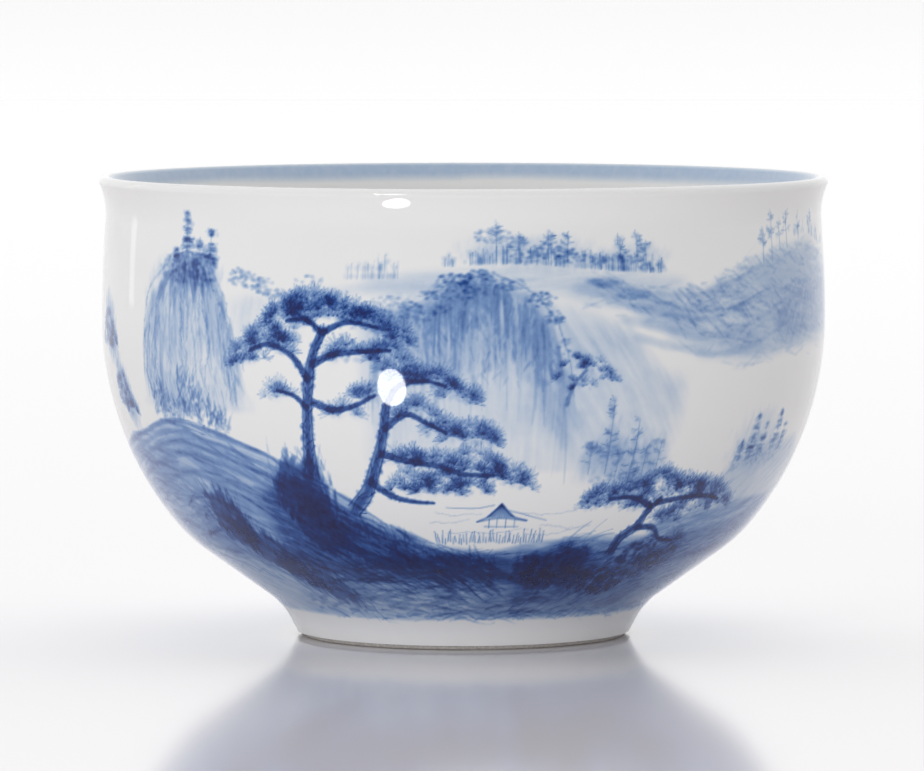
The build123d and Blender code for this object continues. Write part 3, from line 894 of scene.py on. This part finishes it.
for name, material in (("porcelain_body", clay), ("foot_ring", biscuit)):
    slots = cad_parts[name].data.materials
    slots.clear()
    slots.append(material)

# ---- The table, the light and the camera
reach = 60.0  # metres each way, so that its far edge is lost in the backdrop
table_mesh = bpy.data.meshes.new("table_top")
corners = [(-reach, -reach, 0), (reach, -reach, 0), (reach, reach, 0), (-reach, reach, 0)]
table_mesh.from_pydata(corners, [], [(0, 1, 2, 3)])
table = bpy.data.objects.new("table_top", table_mesh)
bpy.context.scene.collection.objects.link(table)
gloss = bpy.data.materials.new("white_acrylic")
gloss.use_nodes = True
acrylic = gloss.node_tree.nodes["Principled BSDF"]
acrylic.inputs["Base Color"].default_value = (0.93, 0.90, 0.92, 1)
acrylic.inputs["Roughness"].default_value = 0.10
acrylic.inputs["IOR"].default_value = 1.5
table_mesh.materials.append(gloss)

# The backdrop is brightest behind the cup, and the camera sees it as a plain near-white
world = bpy.data.worlds.new("studio")
bpy.context.scene.world = world
world.use_nodes = True
sky = world.node_tree
backdrop = sky.nodes["Background"]
where = node(sky, "ShaderNodeTexCoord")
axes = node(sky, "ShaderNodeSeparateXYZ")
sky.links.new(where.outputs["Generated"], axes.inputs["Vector"])
room = node(sky, "ShaderNodeMapRange", interpolation_type="SMOOTHSTEP")
for key, value in (("From Min", -1.0), ("From Max", 0.5), ("To Min", 0.14), ("To Max", 1.07)):
    room.inputs[key].default_value = value
sky.links.new(axes.outputs["Y"], room.inputs["Value"])
path = node(sky, "ShaderNodeLightPath")
seen = node(sky, "ShaderNodeMix")
sky.links.new(path.outputs["Is Camera Ray"], seen.inputs["Factor"])
sky.links.new(room.outputs["Result"], seen.inputs["A"])
seen.inputs["B"].default_value = 0.99
sky.links.new(seen.outputs["Result"], backdrop.inputs["Strength"])
backdrop.inputs["Color"].default_value = (1, 1, 1, 1)

camera_height, camera_distance, camera_tilt = 0.0937, 0.9, 3.89


def softbox(name, azimuth, elevation, distance, width, height, power, shape="RECTANGLE", target=(0, 0, 0.03)):
    """A soft lamp at an azimuth, elevation and distance from its target, looking back at it."""
    lamp = bpy.data.lights.new(name, "AREA")
    lamp.shape = shape
    lamp.size, lamp.size_y, lamp.energy = width, height, power
    holder = bpy.data.objects.new(name, lamp)
    a, e = math.radians(azimuth), math.radians(elevation)
    out = np.array([math.sin(a) * math.cos(e), -math.cos(a) * math.cos(e), math.sin(e)])
    holder.location = out * distance + np.array(target)
    holder.rotation_euler = (math.radians(90 - elevation), 0, a)
    holder.visible_camera = False
    bpy.context.scene.collection.objects.link(holder)
    return holder


def show_in(holder, *objects):
    """Lets a lamp light only these objects."""
    lit = bpy.data.collections.new(holder.name + "_lights")
    for each in objects:
        lit.objects.link(each)
    holder.light_linking.receiver_collection = lit


def spark(name, azimuth, height, distance, width, tall, power):
    """A small lamp low in front, mirrored to the camera at an azimuth and a height, in mm, on the wall."""
    points, headings = wall_line
    k = int(np.argmin(np.abs(points[:, 1] - height)))
    a, lean = math.radians(azimuth), math.radians(headings[k] + 90)
    place = np.array([points[k][0] * math.sin(a), -points[k][0] * math.cos(a), points[k][1]]) * MM
    normal = np.array([math.cos(lean) * math.sin(a), -math.cos(lean) * math.cos(a), math.sin(lean)])
    to_camera = np.array([0, -camera_distance, camera_height]) - place
    to_camera /= np.linalg.norm(to_camera)
    out = 2 * normal.dot(to_camera) * normal - to_camera
    bearing, rise = math.degrees(math.atan2(out[0], -out[1])), math.degrees(math.asin(out[2]))
    lamp = softbox(name, bearing, rise, distance, width, tall, power, "ELLIPSE", place)
    lamp.visible_diffuse = False
    show_in(lamp, wall)


# Lamps as name, azimuth, elevation, distance, width, height and power. The key only lights, and the
# glint in the same place only reflects. The glaze's highlights come from the glint, spark and strip.
key_azimuth, key_elevation = -23.5, 20.5
key = softbox("key", key_azimuth, key_elevation, 1.1, 0.14, 0.21, 1.5, "ELLIPSE")
key.visible_glossy = False
glint = softbox("glint", key_azimuth, key_elevation, 1.09, 0.24, 0.085, 2.6, "ELLIPSE")
glint.visible_diffuse = False
show_in(glint, wall, bead)
spark("spark", azimuth=-11.0, height=35.3, distance=0.05, width=0.0112, tall=0.0160, power=0.0086)
overhead = softbox("overhead", 160.0, 70.0, 1.2, 1.2, 1.2, 1.5)
overhead.visible_glossy = False
fill = softbox("front_fill", -12.0, 5.0, 1.2, 0.9, 0.4, 6.8)
fill.visible_glossy = False
show_in(fill, wall, bead, well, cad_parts["foot_ring"])
strip = softbox("left_strip", -128.0, 12.0, 1.0, 0.07, 0.5, 0.07)
show_in(strip, wall, bead)

camera = bpy.data.objects.new("camera", bpy.data.cameras.new("camera"))
camera.data.lens = 268.9
camera.data.sensor_width = 36.0
camera.data.shift_x = -0.0016
camera.data.clip_start, camera.data.clip_end = 0.01, 300.0
camera.location = (0, -camera_distance, camera_height)
camera.rotation_euler = (math.radians(90 - camera_tilt), 0, 0)
bpy.context.scene.collection.objects.link(camera)
bpy.context.scene.camera = camera
bpy.context.scene.view_settings.view_transform = "Standard"
